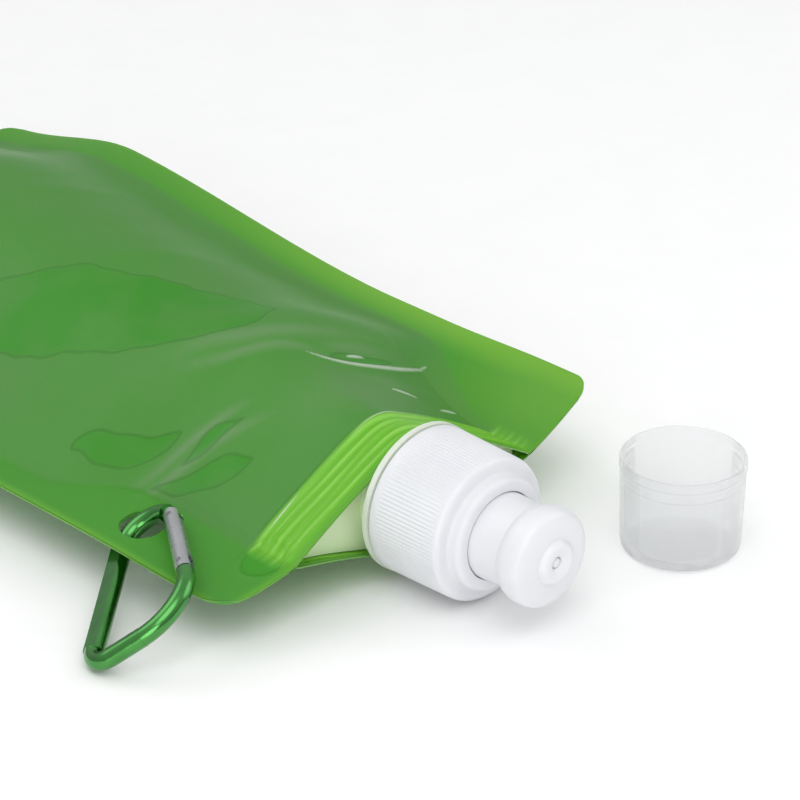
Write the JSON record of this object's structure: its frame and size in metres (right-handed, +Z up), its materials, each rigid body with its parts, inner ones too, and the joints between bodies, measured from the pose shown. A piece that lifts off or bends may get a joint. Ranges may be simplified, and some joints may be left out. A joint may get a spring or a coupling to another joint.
{
  "type": "folding water bottle",
  "caption": "Foldable film pouch bottle with welded spout, screw cap, push-pull nozzle, loose clear dust cover and clip-on carabiner.",
  "frame": {"origin": "on the table under the spout's axis plane, in the middle of the flat patch that the back film rests on", "axes": "+Z up from the table; the spout points to -Y, the pouch's base is at +Y; the carabiner's side seam is on -X"},
  "size_m": [0.1517, 0.2737, 0.0456],
  "materials": {
    "green_film": "translucent satin film",
    "natural_plastic": "translucent natural polyethylene",
    "white_plastic": "satin moulded polypropylene",
    "nozzle_plastic": "satin moulded polyethylene",
    "liner_foam": "closed-cell foam",
    "clear_plastic": "clear frosted polypropylene",
    "green_anodised": "green anodised, polished",
    "bare_aluminium": "satin",
    "steel": "plain"
  },
  "bodies": {
    "pouch_spout_end": {"front_film_spout_half": "green_film", "back_film_spout_half": "green_film", "spout_fitment": "natural_plastic"},
    "pouch_base_end": {"front_film_base_half": "green_film", "back_film_base_half": "green_film", "bottom_gusset": "green_film"},
    "liner": {"cap_liner": "liner_foam"},
    "cap": {"cap": "white_plastic"},
    "nozzle": {"push_pull_nozzle": "nozzle_plastic"},
    "dust_cover": {"dust_cover": "clear_plastic"},
    "carabiner": {"carabiner_frame": "green_anodised"},
    "gate": {"carabiner_gate": "bare_aluminium", "gate_hinge_rivet": "steel", "gate_latch_pin": "steel", "gate_spring": "steel", "gate_plunger": "steel"}
  },
  "joints": [
    {"name": "pouch_fold", "type": "hinge", "parent": "pouch_spout_end", "child": "pouch_base_end", "pos_m": [0, 0.02, 0.0445], "axis": [1, 0, 0], "range_deg": [0, 150]},
    {"name": "cap_turn", "type": "hinge", "parent": "liner", "child": "cap", "pos_m": [0, -0.1, 0.0184], "axis": [0, -1, 0], "range_deg": [0, 720]},
    {"name": "cap_rise", "type": "slide", "parent": "pouch_spout_end", "child": "liner", "axis": [0, -1, 0], "range_m": [0, 0.007]},
    {"name": "nozzle_pull", "type": "slide", "parent": "cap", "child": "nozzle", "axis": [0, -1, 0], "range_m": [0, 0.004]},
    {"name": "dust_cover_lift", "type": "slide", "parent": "pouch_spout_end", "child": "dust_cover", "axis": [0, 0, 1], "range_m": [0, 0.06]},
    {"name": "carabiner_swing", "type": "hinge", "parent": "pouch_spout_end", "child": "carabiner", "pos_m": [-0.0497, -0.0571, 0.013], "axis": [0, 0, -1], "range_deg": [0, 75]},
    {"name": "gate_open", "type": "hinge", "parent": "carabiner", "child": "gate", "pos_m": [-0.04765, -0.06597, 0.01841], "axis": [0.4869, -0.3129, -0.8155], "range_deg": [0, 18], "stiffness_Nm_per_rad": 0.02, "springref_deg": -20.05}
  ],
  "couplings": [
    {"joint": "cap_turn", "follows": "cap_rise", "rad_per_m": 1795.2}
  ]
}
